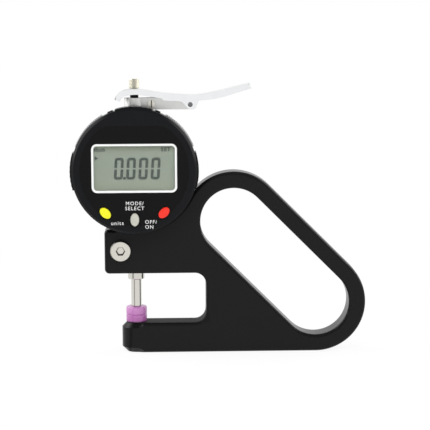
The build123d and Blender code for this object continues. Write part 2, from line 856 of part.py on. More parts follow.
def make_head_shell():
    """Moulded front of the reading head, with ribbed grips and a toothed edge."""
    shell = crosswise(head_rim_radius, head_front, head_back)
    shell = chamfer(shell.edges().filter_by(GeomType.CIRCLE).sort_by(Axis.Y)[0], head_front_chamfer)
    for angle in mirrored(pad_angle):
        pad = notched_sector(head_pad_radius, angle, pad_half_angle,
                             pad_rib_count, pad_groove_depth, pad_groove_share)
        shell += slab(pad, head_back - pad_depth, head_back) & grip_taper()
    for angle in mirrored(lug_angle):
        shell += slab(sector(head_lug_radius, angle, lug_half_angle), head_back - pad_depth, head_back)
    tooth_front = head_front + head_front_chamfer
    for turn in range(tooth_zone_count):
        angle = 360 * turn / tooth_zone_count
        teeth = notched_sector(head_radius, angle, tooth_zone_half_angle,
                               tooth_count, tooth_depth, tooth_share)
        shell += slab(teeth, tooth_front, tooth_front + tooth_height)
        shell += slab(sector(head_radius, angle, tooth_zone_half_angle), tooth_front + tooth_height, head_back)
    shell -= crosswise(head_inner_radius, head_wall_back, head_plate_front)
    shell -= crosswise(head_inner_radius + head_plate_seat, head_plate_front, head_back)
    shell -= slab(label_outline(head_fit), head_front, label_back)
    shell -= slab(window_shape(-head_fit), head_front, head_wall_back)
    for place in button_places().values():
        shell -= slab(button_oval(place, button_clearance), head_front, head_wall_back)
        shell -= slab(button_oval(place, button_ring_width), head_front, label_back + button_ring_depth)
    for x, z in board_boss_places():
        shell += crosswise(board_boss_radius, head_wall_back, board_front, x, z)
        shell -= crosswise(board_screw_radius, head_wall_back + seat_clearance, board_front, x, z)
    return shell


def make_face_label():
    label = label_outline(0) - window_shape(-head_fit)
    for place in button_places().values():
        label -= button_oval(place, button_ring_width)
    return slab(label, head_front, label_back)


def make_window_frame():
    ring = window_shape(0) - window_shape(window_border)
    return slab(ring, head_front - window_proud, head_wall_back)


def make_window_lens():
    return slab(window_shape(window_border + head_fit), lens_front, head_wall_back)


def make_lcd_panel():
    half_width = lcd_width / 2
    half_height = lcd_height / 2
    return block(-half_width, half_width, lcd_front, board_front,
                 window_z - half_height, window_z + half_height)


def make_circuit_board():
    board = crosswise(board_radius, board_front, board_back)
    for x, z in board_boss_places():
        board -= crosswise(board_screw_radius + seat_clearance, board_front, board_back, x, z)
    return board


def make_board_screws():
    screws = []
    for x, z in board_boss_places():
        shank = crosswise(board_screw_radius, head_wall_back + board_screw_end_margin, board_back, x, z)
        head = crosswise(board_screw_head_radius, board_back, board_back + board_screw_head_height, x, z)
        screws.append(shank + head)
    return screws


def make_battery():
    cell = crosswise(battery_radius, board_back, board_back + battery_thickness, 0, battery_z)
    return chamfer(cell.edges().filter_by(GeomType.CIRCLE), anvil_face_chamfer)


def make_battery_holder():
    back = board_back + battery_holder_height
    outer = battery_radius + head_fit + battery_holder_wall
    ring = crosswise(outer, board_back, back, 0, battery_z)
    ring -= crosswise(battery_radius + head_fit, board_back, back, 0, battery_z)
    return ring - block(-outer, outer, board_back, back, battery_z + battery_radius / 2, battery_z + outer)


def make_head_back_plate():
    plate = crosswise(head_inner_radius + head_plate_seat - head_fit, head_plate_front, head_back)
    return plate - crosswise(spigot_radius + turning_clearance, head_plate_front, head_back)


# Push buttons and their rubber pad
def make_button(place):
    cap = slab(button_oval(place, 0), head_front - button_proud, button_flange_front)
    cap = fillet(cap.faces().sort_by(Axis.Y)[0].edges(), button_round)
    return cap + slab(button_oval(place, button_flange), button_flange_front, button_back)


def make_button_pad():
    """Rubber sheet on the board, clear of its bosses, with a dome behind each button."""
    low = label_radius - button_pad_low_margin
    high = label_radius - button_pad_high_margin
    width = 2 * (label_radius - button_pad_side_margin)
    sheet = Pos(0, dial_z - (low + high) / 2) * Rectangle(width, low - high)
    sheet = sheet & (Pos(0, dial_z) * Circle(board_radius - button_ring_width))
    pad = slab(sheet, pad_front, board_front)
    for x, z in board_boss_places():
        pad -= crosswise(board_boss_radius + seat_clearance, pad_front, board_front, x, z)
    for x, z, slant in button_places().values():
        pad += crosswise(button_dome_radius, dome_front, pad_front, x, z)
    return pad


def all_pieces():
    pieces = {
        "frame": make_frame(),
        "clamp_screw": make_clamp_screw(),
        "lower_anvil": make_lower_anvil(),
        "upper_anvil": make_upper_anvil(),
        "spindle": make_spindle(),
        "top_cap": make_top_cap(),
        "stem": make_stem(),
        "lower_bush": make_bush(stem_bottom),
        "inner_bush": make_bush(stem_top - bush_length),
        "upper_stem": make_upper_stem(),
        "dust_collar": make_dust_collar(),
        "rear_housing": make_rear_housing(),
        "head_retainer": make_head_retainer(),
        "back_cover": make_back_cover(),
        "cover_screws": make_cover_screws(),
        "scale_carrier": make_scale_carrier(),
        "guide_pin": make_guide_pin(),
        "guide_rail": make_guide_rail(),
        "encoder_scale": make_encoder_scale(),
        "reading_sensor": make_reading_sensor(),
        "spring_post": make_spring_post(),
        "return_spring": make_return_spring(),
        "lever_bracket": make_lever_bracket(),
        "bracket_screw": make_bracket_screw(),
        "lever_pin": make_lever_pin(),
        "lifting_lever": make_lifting_lever(),
        "head_shell": make_head_shell(),
        "face_label": make_face_label(),
        "window_frame": make_window_frame(),
        "window_lens": make_window_lens(),
        "lcd_panel": make_lcd_panel(),
        "circuit_board": make_circuit_board(),
        "board_screws": make_board_screws(),
        "battery": make_battery(),
        "battery_holder": make_battery_holder(),
        "head_back_plate": make_head_back_plate(),
        "button_pad": make_button_pad(),
    }
    for name, place in button_places().items():
        pieces[name] = make_button(place)
    return pieces


os.makedirs("parts", exist_ok=True)
for name, piece in all_pieces().items():
    if isinstance(piece, list):
        solids = [solid for item in piece for solid in item.solids()]
    else:
        solids = list(piece.solids())
    shape = solids[0] if len(solids) == 1 else Compound(children=solids)
    export_step(shape, "parts/" + name + ".step")
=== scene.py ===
import math
import bpy
from mathutils import Matrix, Vector


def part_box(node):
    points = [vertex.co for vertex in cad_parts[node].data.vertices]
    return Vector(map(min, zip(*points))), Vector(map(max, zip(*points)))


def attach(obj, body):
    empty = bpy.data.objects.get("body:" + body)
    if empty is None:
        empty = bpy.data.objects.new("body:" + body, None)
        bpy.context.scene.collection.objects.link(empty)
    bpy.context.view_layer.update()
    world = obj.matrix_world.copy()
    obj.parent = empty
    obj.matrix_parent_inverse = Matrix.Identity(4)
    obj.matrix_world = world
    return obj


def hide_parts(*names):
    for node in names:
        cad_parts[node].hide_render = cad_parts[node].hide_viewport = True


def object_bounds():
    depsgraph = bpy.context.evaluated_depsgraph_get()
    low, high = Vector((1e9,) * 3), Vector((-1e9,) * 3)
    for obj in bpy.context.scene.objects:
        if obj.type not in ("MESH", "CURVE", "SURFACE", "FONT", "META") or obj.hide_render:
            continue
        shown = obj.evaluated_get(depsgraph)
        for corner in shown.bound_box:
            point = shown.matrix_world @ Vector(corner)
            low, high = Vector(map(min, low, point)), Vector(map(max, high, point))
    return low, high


bl_info = {
    "name": "Thickness gauge finishes",
    "version": (1, 0),
    "blender": (4, 5, 0),
    "location": "3D View > Sidebar > Gauge",
    "description": "Finishes, print and studio for the packed model of a digital thickness gauge",
    "category": "Object",
}

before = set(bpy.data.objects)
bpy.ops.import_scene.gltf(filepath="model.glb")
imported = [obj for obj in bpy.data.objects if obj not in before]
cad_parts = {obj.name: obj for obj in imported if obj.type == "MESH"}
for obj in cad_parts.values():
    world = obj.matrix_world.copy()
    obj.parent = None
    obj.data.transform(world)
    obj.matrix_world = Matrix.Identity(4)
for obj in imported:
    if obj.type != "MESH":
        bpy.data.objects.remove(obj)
cad_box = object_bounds()

MM = 0.001


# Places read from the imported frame
def middle(node):
    """The centre of a node's box."""
    low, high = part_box(node)
    return (low + high) / 2


def extent(node):
    """The three lengths of a node's box."""
    low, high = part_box(node)
    return high - low


dial = middle("back_cover")
window = middle("window_frame")
window_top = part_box("window_frame")[1].z
lcd_low, lcd_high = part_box("lcd_panel")
label_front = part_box("face_label")[0].y
gauge_middle = (cad_box[0] + cad_box[1]) / 2

# Print on the face and on the display, as distances from the dial's or the window's centre
CAPITAL_SHARE = 0.69
LETTER_SPACE = 1.2
LEGENDS = (
    ("MODE/", "CENTER", 0.0, -15.05 * MM, 1.65 * MM),
    ("SELECT", "CENTER", 0.0, -17.4 * MM, 1.65 * MM),
    ("units", "CENTER", -8.2 * MM, -24.3 * MM, 1.8 * MM),
    ("OFF/", "LEFT", 4.75 * MM, -23.85 * MM, 1.65 * MM),
    ("ON", "LEFT", 4.75 * MM, -26.2 * MM, 1.65 * MM),
)
DIGIT_COUNT = 4
FIRST_DIGIT_X = -7.24 * MM
DIGIT_DROP = -0.3 * MM
SIGNS = (
    ("mm", -16.1 * MM, 8.7 * MM, 2.1 * MM),
    ("SET", 14.8 * MM, 8.6 * MM, 1.75 * MM),
)
SIGN_BOLD = 0.12 * MM
ARROW_X = -17.9 * MM
ARROW_RISE = 4.6 * MM
ARROW_SIZE = 1.1 * MM

# Studio
FLOOR_SIZE = 6.0
FLOOR_WHITE = (0.9, 0.9, 0.895)
SHADOW_NEAR = 0.12
SHADOW_FAR = 0.35
SENSOR_WIDTH = 36.0
CLIP_START = 0.05
CLIP_END = 20.0
FRONT_LAMP_PLACE = (0, -0.8, 0.62)
FRONT_LAMP_SIZE = (1.1, 0.6)
LEFT_LAMP_PLACE = (-0.68, 0.14, 0.42)
RIGHT_LAMP_PLACE = (0.68, 0.14, 0.42)
SIDE_LAMP_SIZE = (0.6, 0.7)

# What shiny surfaces see: headings from front to back, soft edges of the strips, and fades with height
FRONT_END = math.radians(60)
BACK_START = math.radians(120)
STRIP_INNER = 0.6
STRIP_OUTER = 1.4
FRONT_FADE = (0.1, 0.4)
CEILING_FADE = (0.55, 0.9)


def srgb(red, green, blue):
    """A colour given as it looks on screen, 0 to 255, as the linear colour that Blender keeps."""
    def linear(part):
        level = part / 255
        return level / 12.92 if level <= 0.04045 else ((level + 0.055) / 1.055) ** 2.4
    return linear(red), linear(green), linear(blue)


# Tones and places of the finishes
LEDGE_FADE = 0.3 * MM
LEDGE_NEAR = 4 * MM
LEDGE_FAR = 8 * MM
LEDGE_ROUGHNESS = 0.35
THROAT_END = 35.5 * MM
LOWER_DISC = 3.5 * MM
# Painted contact shadow at the lower anvil's foot, and the tint of the painted shade that darkens both
# anvils downwards, as if lit from above
ANVIL_SHADOW_HEIGHT = 0.7 * MM
ANVIL_PAINTED_SHADE_TINT = srgb(162, 86, 155)
# Painted shade on the walls of screw recesses: where it starts behind the head's front, how softly it fades
# in, and how dark it is
RECESS_START = 0.1 * MM
RECESS_FADE = 0.12 * MM
RECESS_PAINTED_SHADE = 0.12
# Painted shadow of the window frame's top edge on the display, from how far below the frame's top it starts
# to where it is full, with its tone; and the lighter tone of a painted shading gradient at the display's
# bottom
DISPLAY_SHADE_START = 5.5 * MM
DISPLAY_SHADE_END = 0.8 * MM
DISPLAY_LIT_BOTTOM_TONE = srgb(146, 154, 136)
DISPLAY_FRAME_SHADOW_TONE = srgb(122, 132, 110)
LENS_TINT = (0.92, 0.96, 0.93)
SCALE_GLASS = (0.6, 0.75, 0.72)

# How far a finish's marks are drawn out along X, Y and Z
EVEN = (1.0, 1.0, 1.0)
TURNED_ABOUT_Y = (1.0, 0.06, 1.0)
TURNED_ABOUT_Z = (1.0, 1.0, 0.06)
DRAWN_ALONG = (8.0, 1.0, 8.0)

# Shaping of the pieces: what counts as facing an axis, the smooth angles in degrees, and steps of rounds
TO_READER = (math.pi / 2, 0, 0)
FACING = 0.5
CREASE = 32.0
SHELL_CREASE = 25.0
MERGE_DISTANCE = 0.002 * MM
FLAT_ANGLE = math.radians(0.2)
CORNER_STEPS = 5
LETTER_STEPS = 3
SCREW_SIDES = 64
SCREW_ROUND_STEPS = 6
SCREW_NECK_INSET = 0.25

# Where the lever is reshaped: its crown over the bracket, and the flanges of its hand end
CROWN_X = 15.5 * MM
CROWN_REACH = 11.5 * MM
CROWN_OVER_PIN = 2 * MM
HAND_X = 41 * MM
HAND_REACH = 14 * MM
HAND_START = 30 * MM
FLANGE_START = 2 * MM
TOP_SEARCH = 1.5 * MM
HELD_HALF = 2 * MM


# Kinds of setting
def colour(name, description, default):
    return bpy.props.FloatVectorProperty(
        name=name, description=description, default=default, subtype="COLOR", min=0.0, max=1.0)


def length(name, description, default):
    return bpy.props.FloatProperty(
        name=name, description=description, default=default, unit="LENGTH", subtype="DISTANCE",
        precision=5)


def share(name, description, default):
    return bpy.props.FloatProperty(
        name=name, description=description, default=default, subtype="FACTOR", min=0.0, max=1.0)


def angle(name, description, degrees):
    return bpy.props.FloatProperty(
        name=name, description=description, default=math.radians(degrees), subtype="ANGLE",
        unit="ROTATION")


def power(name, description, default):
    return bpy.props.FloatProperty(name=name, description=description, default=default, unit="POWER")


# Settings
class GaugeFinishSettings(bpy.types.PropertyGroup):
    """Colours of the gauge's finishes."""
    anodised: colour("Anodised black", "Matt black of the frame", srgb(19, 19, 19))
    lilac: colour("Lilac ceramic", "Colour of both anvils", srgb(194, 129, 188))
    steel: colour("Ground steel", "Colour of the spindle and the stems", srgb(214, 212, 205))
    screw_plate: colour("Screw plate", "Bright plate of the screws", srgb(219, 216, 207))
    nickel: colour("Warm nickel", "Plate of the knurled cap", srgb(216, 213, 196))
    polish: colour("Polished lever", "Bright plate of the lifting lever", srgb(242, 243, 244))
    casting: colour("Satin casting", "Satin plate of the lever's bracket", srgb(226, 227, 224))
    moulding: colour("Black moulding", "Plastic of the head and the case", srgb(15, 16, 18))
    film: colour("Black film", "Glossy film on the face", srgb(14, 14, 14))
    window_white: colour("Window frame", "White frame of the window", srgb(240, 241, 240))
    display: colour("Display", "Grey-green of the display", srgb(140, 150, 136))
    segment: colour("Segments", "Digits on the display", srgb(52, 64, 58))
    ink: colour("Print", "White print on the face", srgb(236, 237, 236))
    yellow: colour("Yellow key", "Units key", srgb(238, 234, 30))
    grey: colour("Grey key", "Preset key", srgb(190, 190, 178))
    red: colour("Red key", "Zero key", srgb(240, 46, 30))
    # Only the lever's pivot pin takes this colour; the dark in recesses is painted shade from worked_metal
    burnished: colour("Burnished pin", "Dark steel of the pivot and of recesses", srgb(118, 120, 121))
    bronze: colour("Bronze", "Sintered bushes inside the stem", srgb(176, 134, 84))
    mask: colour("Board green", "Solder mask of the boards", srgb(30, 92, 50))
    rubber: colour("Rubber", "Pad behind the keys", srgb(80, 80, 82))


class GaugePrintSettings(bpy.types.PropertyGroup):
    """Sizes of the digits, the print, the eased edges and the cap's knurl."""
    digit_height: length("Digit height", "Height of the display's digits", 10.35 * MM)
    digit_width: length("Digit width", "Width of a digit", 4.3 * MM)
    digit_pitch: length("Digit pitch", "Distance from digit to digit", 5.74 * MM)
    digit_stroke: length("Digit stroke", "Width of a digit's segments", 1.32 * MM)
    digit_corner: length("Digit corner", "Radius of a digit's outer corners", 1.4 * MM)
    digit_gap: length("Digit gap", "Gap between a digit's upper and lower half", 0.7 * MM)
    digit_slant: angle("Digit slant", "Lean of the digits", 3.6)
    print_thickness: length("Print thickness", "How far the print stands proud", 0.03 * MM)
    bold: length("Bold", "How far the print's strokes are widened", 0.01 * MM)
    knurl_count: bpy.props.IntProperty(
        name="Knurl count", description="Points of the knurl round the cap", default=34, min=8)
    knurl_rows: bpy.props.IntProperty(
        name="Knurl rows", description="Rows of points up the cap", default=8, min=2)
    knurl_depth: length("Knurl depth", "Height of the knurl's points", 0.12 * MM)
    cap_chamfer: length("Cap chamfer", "Chamfer at the cap's ends", 0.4 * MM)
    button_round: length("Screw round", "Round of the clamp screw's button head", 0.7 * MM)
    socket_flat: length("Socket", "Across flats of the clamp screw's socket", 4.0 * MM)
    socket_depth: length("Socket depth", "Depth of the clamp screw's socket", 1.9 * MM)
    socket_draft: length("Socket draft", "How far the socket narrows towards its floor", 0.65 * MM)
    crown_lift: length("Lever rise", "How far the lever's top rises over the bracket", 0.85 * MM)
    flange_drop: length("Flange depth", "How much deeper the hand end's flanges are", 0.7 * MM)
    lever_round: length("Lever edge", "Round of the folded lever's edges", 0.3 * MM)
    casting_round: length("Bracket edge", "Round of the bracket's edges", 0.18 * MM)
    frame_round: length("Window edge", "Round of the window frame's edges", 0.2 * MM)


class GaugeStudioSettings(bpy.types.PropertyGroup):
    """Camera, lamps and floor."""
    distance: length("Camera distance", "From the camera to what it looks at", 735.4 * MM)
    lens: bpy.props.FloatProperty(
        name="Lens", description="Focal length in millimetres", default=127.87, unit="CAMERA")
    azimuth: angle("Azimuth", "How far the camera stands to the side", -1.76)
    elevation: angle("Elevation", "How far the camera stands above level", 7.39)
    roll: angle("Roll", "Lean of the picture", 0.27)
    aim: bpy.props.FloatVectorProperty(
        name="Aim", description="Point that the camera looks at",
        default=(38.2 * MM, 0.0, 65.83 * MM), unit="LENGTH", subtype="TRANSLATION", precision=5)
    front_power: power("Front lamp", "Power of the large lamp over the camera", 6.0)
    side_power: power("Side lamps", "Power of each tall lamp beside and behind the gauge", 4.4)
    fill: share("Fill", "Strength of the even light from all round", 0.45)
    front_room: share("Front of the room", "Brightness that shiny surfaces see in front", 1.0)
    front_wall: share("Front wall", "Brightness that shiny surfaces see high up in front", 0.35)
    ceiling: share("Ceiling", "Brightness that shiny surfaces see overhead", 0.45)
    left_strip: angle("Left strip", "Direction of the dark strip on the left", -44.0)
    right_strip: angle("Right strip", "Direction of the dark strip on the right", 105.0)
    strip_half: angle("Strip width", "Half the width of a dark strip", 10.0)
    strip_depth: share("Strip depth", "How dark the strips are", 0.7)
    shadow_share: share("Shadow", "How much of the floor's own shading shows by the gauge", 0.1)


# Shader maths
class Value:
    """A shader socket that takes part in Python expressions."""

    def __init__(self, finish, socket):
        self.finish = finish
        self.socket = socket

    def math(self, operation, first, second):
        return self.finish.node("Math", {"operation": operation}, {0: first, 1: second})

    def __add__(self, other):
        return self.math("ADD", self, other)

    def __radd__(self, other):
        return self.math("ADD", other, self)

    def __sub__(self, other):
        return self.math("SUBTRACT", self, other)

    def __rsub__(self, other):
        return self.math("SUBTRACT", other, self)

    def __mul__(self, other):
        return self.math("MULTIPLY", self, other)

    def __rmul__(self, other):
        return self.math("MULTIPLY", other, self)

    def __abs__(self):
        return self.finish.node("Math", {"operation": "ABSOLUTE"}, {0: self})

    def __pow__(self, other):
        return self.math("POWER", self, other)


class Finish:
    """One shader tree, with its nodes made from plain values, sockets and expressions."""

    def __init__(self, tree):
        self.tree = tree

    def join(self, value, socket):
        if isinstance(value, Value):
            self.tree.links.new(value.socket, socket)
        elif socket.type == "RGBA" and len(value) == 3:
            socket.default_value = (*value, 1.0)
        else:
            socket.default_value = value

    def node(self, kind, settings=None, inputs=None, out=0):
        """Any shader node: its settings are set first, then its sockets."""
        made = self.tree.nodes.new("ShaderNode" + kind)
        for name, value in (settings or {}).items():
            setattr(made, name, value)
        for name, value in (inputs or {}).items():
            self.join(value, made.inputs[name])
        return Value(self, made.outputs[out])

    def place(self):
        """Object coordinates, in metres."""
        return self.node("TexCoord", out="Object")

    def along(self, axis):
        """Distance from the origin along X, Y or Z."""
        return self.node("SeparateXYZ", inputs={0: self.place()}, out=axis)

    def noise(self, size, detail, stretch=EVEN):
        """Soft random values, with patches of about the given size, drawn out along the axes."""
        scaled = self.node("Mapping", inputs={
            "Vector": self.place(), "Scale": tuple(1 / (size * part) for part in stretch)})
        return self.node("TexNoise", inputs={
            "Vector": scaled, "Scale": 1.0, "Detail": detail, "Roughness": 0.5})

    def mix(self, amount, first, second):
        """A colour between two colours."""
        return self.node("Mix", {"data_type": "RGBA"}, {0: amount, 6: first, 7: second}, out=2)

    def remap(self, value, low, high, new_low=0.0, new_high=1.0):
        return self.node("MapRange", {"interpolation_type": "SMOOTHSTEP"}, {
            "Value": value, "From Min": low, "From Max": high, "To Min": new_low, "To Max": new_high})


class Coat(Finish):
    """One material's finish, on its Principled surface."""

    def __init__(self, name, roughness=0.5, metallic=0.0, gloss=0.5):
        self.material = bpy.data.materials.new(name)
        self.material.use_nodes = True
        super().__init__(self.material.node_tree)
        self.surface = self.tree.nodes["Principled BSDF"]
        self.set("Roughness", roughness)
        self.set("Metallic", metallic)
        self.set("Specular IOR Level", gloss)

    def set(self, name, value):
        self.join(value, self.surface.inputs[name])

    def bump(self, height, distance, strength):
        self.set("Normal", self.node("Bump", inputs={
            "Height": height, "Distance": distance, "Strength": strength}))


def shade(base, factor):
    """A colour made darker or lighter by a plain factor."""
    return tuple(min(1.0, part * factor) for part in base)


# Finishes
def anodised_finish(base):
    """Bead-blasted black anodised aluminium, a little more open in patches and on the jaw's ledge."""
    coat = Coat("anodised_black", gloss=0.14)
    cloud = coat.noise(30 * MM, 2.0)
    grain = coat.noise(0.22 * MM, 2.0)
    coat.set("Base Color", coat.mix(cloud * 0.5 + grain * 0.5, shade(base, 0.8), shade(base, 1.2)))
    over = coat.along("Z") - (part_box("lower_anvil")[1].z - LOWER_DISC)
    ledge = coat.remap(over, -LEDGE_FADE, 0.0) * coat.remap(over, LEDGE_NEAR, LEDGE_FAR, 1.0, 0.0)
    ledge = ledge * coat.remap(coat.along("X"), THROAT_END - LEDGE_FADE, THROAT_END, 1.0, 0.0)
    coat.set("Roughness", 0.19 + 0.06 * grain + 0.05 * cloud + LEDGE_ROUGHNESS * ledge)
    coat.bump(grain, distance=0.004 * MM, strength=0.5)
    return coat.material


def ceramic_finish(base):
    """Polished ceramic, mottled, with painted shade that deepens its tone towards the base and a painted
    contact shadow at the lower anvil's foot.
    """
    coat = Coat("lilac_ceramic")
    coat.set("Coat Weight", 0.3)
    coat.set("Coat Roughness", 0.12)
    mottle = coat.noise(1.3 * MM, 4.0)
    low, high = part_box("lower_anvil")[1].z - LOWER_DISC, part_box("upper_anvil")[1].z
    # Painted light and shade: the anvils lighter towards the top, as if lit from above
    rise = coat.remap(coat.along("Z"), low, high)
    body = coat.mix(mottle * 0.4, coat.mix(rise, ANVIL_PAINTED_SHADE_TINT, base), shade(base, 0.78))
    # Painted contact shadow where the lower anvil stands on the jaw
    contact_shadow = coat.remap(coat.along("Z"), low, low + ANVIL_SHADOW_HEIGHT)
    coat.set("Base Color", coat.mix(contact_shadow, shade(ANVIL_PAINTED_SHADE_TINT, 0.3), body))
    coat.set("Roughness", 0.22 + 0.12 * mottle)
    coat.bump(mottle, distance=0.003 * MM, strength=0.5)
    return coat.material


def worked_metal(name, base, roughness, lay=EVEN, recess=None):
    """Bare or plated metal with fine tool marks, and painted shade on a recess's walls, given from y to y.
    """
    coat = Coat(name, metallic=1.0)
    marks = coat.noise(0.12 * MM, 2.0, lay)
    cloud = coat.noise(5 * MM, 3.0)
    tone = coat.mix(marks * 0.5 + cloud * 0.5, shade(base, 0.9), shade(base, 1.04))
    # Painted shade on the recess's walls
    if recess is not None:
        depth_in = coat.along("Y")
        inside = coat.remap(depth_in, recess[0], recess[0] + RECESS_FADE)
        inside = inside * coat.remap(depth_in, recess[1] - RECESS_FADE, recess[1], 1.0, 0.0)
        tone = coat.mix(inside, tone, shade(base, RECESS_PAINTED_SHADE))
    coat.set("Base Color", tone)
    coat.set("Roughness", roughness * 0.7 + roughness * 0.6 * marks)
    coat.bump(marks, distance=0.0015 * MM, strength=0.6)
    return coat.material


def moulding_finish(base):
    """Moulded plastic with a fine spark texture."""
    coat = Coat("black_moulding", gloss=0.12)
    spark = coat.noise(0.16 * MM, 3.0)
    cloud = coat.noise(14 * MM, 2.0)
    coat.set("Base Color", coat.mix(spark * 0.5 + cloud * 0.5, shade(base, 0.85), shade(base, 1.2)))
    coat.set("Roughness", 0.22 + 0.1 * spark)
    coat.bump(spark, 0.006 * MM, 0.5)
    return coat.material


def film_finish(base):
    """Glossy printed film with the faintest orange peel."""
    coat = Coat("black_film", gloss=0.09)
    peel = coat.noise(1.8 * MM, 2.0)
    coat.set("Base Color", coat.mix(peel, shade(base, 0.9), shade(base, 1.1)))
    coat.set("Roughness", 0.12 + 0.05 * peel)
    coat.bump(peel, 0.001 * MM, 0.4)
    return coat.material


def satin_plastic(name, base, roughness=0.3, gloss=0.4):
    """Coloured plastic with a soft sheen and slight flow marks."""
    coat = Coat(name, gloss=gloss)
    flow = coat.noise(3 * MM, 2.0)
    pores = coat.noise(0.12 * MM, 2.0)
    coat.set("Base Color", coat.mix(flow * 0.6 + pores * 0.4, shade(base, 0.93), shade(base, 1.04)))
    coat.set("Roughness", roughness + 0.1 * pores)
    coat.bump(pores, 0.002 * MM, 0.4)
    return coat.material


def display_finish(base):
    """Liquid-crystal cell with a fine grain, a painted shadow, darker and greener, under the frame's top
    edge, and a painted shading gradient to a lighter tone at the bottom.
    """
    coat = Coat("display_cell", gloss=0.25)
    grain = coat.noise(0.25 * MM, 2.0)
    height = coat.along("Z")
    # Painted shadow of the frame's top edge
    edge = coat.remap(height, window_top - DISPLAY_SHADE_START, window_top - DISPLAY_SHADE_END)
    # Painted shading gradient, lighter towards the bottom
    fall = coat.remap(height, lcd_low.z, window.z)
    body = coat.mix(fall, DISPLAY_LIT_BOTTOM_TONE, base)
    body = coat.mix(edge, body, DISPLAY_FRAME_SHADOW_TONE)
    coat.set("Base Color", coat.mix(grain * 0.3, body, shade(base, 0.86)))
    coat.set("Roughness", 0.3 + 0.1 * grain)
    return coat.material


def lens_finish():
    """Clear window: only its gloss shows, more of it at a slant."""
    coat = Coat("clear_window")
    coat.set("Base Color", LENS_TINT)
    facing = coat.node("LayerWeight", inputs={"Blend": 0.25}, out="Facing")
    coat.set("Alpha", 0.03 + 0.4 * facing)
    smear = coat.noise(6 * MM, 3.0)
    coat.set("Roughness", 0.03 + 0.05 * smear)
    return coat.material


def plain_grain(name, base, roughness, size, metallic=0.0):
    """Finish of the hidden pieces: a little grain in tone and gloss."""
    coat = Coat(name, metallic=metallic)
    grain = coat.noise(size, 3.0)
    coat.set("Base Color", coat.mix(grain, shade(base, 0.85), shade(base, 1.1)))
    coat.set("Roughness", roughness + 0.15 * grain)
    coat.bump(grain, size / 40, 0.4)
    return coat.material


def dress(material, *nodes):
    """Gives CAD nodes a finish."""
    for node in nodes:
        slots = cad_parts[node].data.materials
        slots.clear()
        slots.append(material)


# Tools for new pieces
def start_clean():
    """Nothing selected and object mode, so that an operator acts on one new piece."""
    if bpy.context.mode != "OBJECT":
        bpy.ops.object.mode_set(mode="OBJECT")
    bpy.ops.object.select_all(action="DESELECT")


def alone(piece):
    start_clean()
    piece.select_set(True)
    bpy.context.view_layer.objects.active = piece


def settle(piece, name, body, material):
    """Puts a finished piece's place into its mesh, and joins it to its body and finish."""
    alone(piece)
    bpy.ops.object.transform_apply(location=True, rotation=True, scale=True)
    piece.name = name
    piece.data.name = name
    piece.data.materials.clear()
    piece.data.materials.append(material)
    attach(piece, body)


def apply_modifier(piece, kind, **settings):
    modifier = piece.modifiers.new(kind.lower(), kind)
    for name, value in settings.items():
        setattr(modifier, name, value)
    bpy.ops.object.modifier_apply(modifier=modifier.name)


def join_pieces(pieces):
    """Joins several pieces into the first."""
    start_clean()
    for piece in pieces:
        piece.select_set(True)
    bpy.context.view_layer.objects.active = pieces[0]
    bpy.ops.object.join()
    return pieces[0]


def select_faces(piece, wanted):
    """Selects, in face mode, the faces for which wanted(face) holds, and stays in edit mode."""
    bpy.ops.object.mode_set(mode="EDIT")
    bpy.ops.mesh.select_mode(type="FACE")
    bpy.ops.mesh.select_all(action="DESELECT")
    bpy.ops.object.mode_set(mode="OBJECT")
    for face in piece.data.polygons:
        face.select = wanted(face)
    bpy.ops.object.mode_set(mode="EDIT")


def merged_copy(node):
    """A copy of a CAD node with its doubles merged and its flat faces made whole."""
    piece = bpy.data.objects.new("finished_" + node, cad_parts[node].data.copy())
    bpy.context.scene.collection.objects.link(piece)
    alone(piece)
    bpy.ops.mesh.customdata_custom_splitnormals_clear()
    bpy.ops.object.mode_set(mode="EDIT")
    bpy.ops.mesh.select_all(action="SELECT")
    bpy.ops.mesh.remove_doubles(threshold=MERGE_DISTANCE)
    bpy.ops.mesh.dissolve_limited(angle_limit=FLAT_ANGLE)
    bpy.ops.object.mode_set(mode="OBJECT")
    return piece


def smooth_edges(piece, edge=0.0, crease=CREASE):
    """Rounds the edges sharper than the crease angle, if asked, and shades the rest smooth."""
    alone(piece)
    if edge > 0:
        apply_modifier(piece, "BEVEL", width=edge, segments=2, limit_method="ANGLE",
                       angle_limit=math.radians(crease))
    bpy.ops.object.shade_smooth_by_angle(angle=math.radians(crease))
    apply_modifier(piece, "WEIGHTED_NORMAL", keep_sharp=True)


def eased_copy(node, body, material, edge=0.0, crease=CREASE):
    """Makes a merged and smooth copy of a CAD node, its edges rounded if asked, that stands for the node."""
    piece = merged_copy(node)
    smooth_edges(piece, edge, crease)
    settle(piece, "finished_" + node, body, material)
    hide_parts(node)


# Digits and print
def display_plate(x, z, width, height, corner):
    """A flat plate facing the reader, with rounded corners, on the display's front face."""
    start_clean()
    bpy.ops.mesh.primitive_plane_add(size=1.0, location=(x, lcd_low.y, z), rotation=TO_READER)
    plate = bpy.context.object
    bpy.ops.transform.resize(value=(width, 1, height))
    bpy.ops.object.transform_apply(location=True, rotation=True, scale=True)
    bpy.ops.object.mode_set(mode="EDIT")
    bpy.ops.mesh.select_all(action="SELECT")
    bpy.ops.mesh.bevel(offset=corner, offset_pct=0, segments=CORNER_STEPS, affect="VERTICES", profile=0.5)
    bpy.ops.object.mode_set(mode="OBJECT")
    return plate


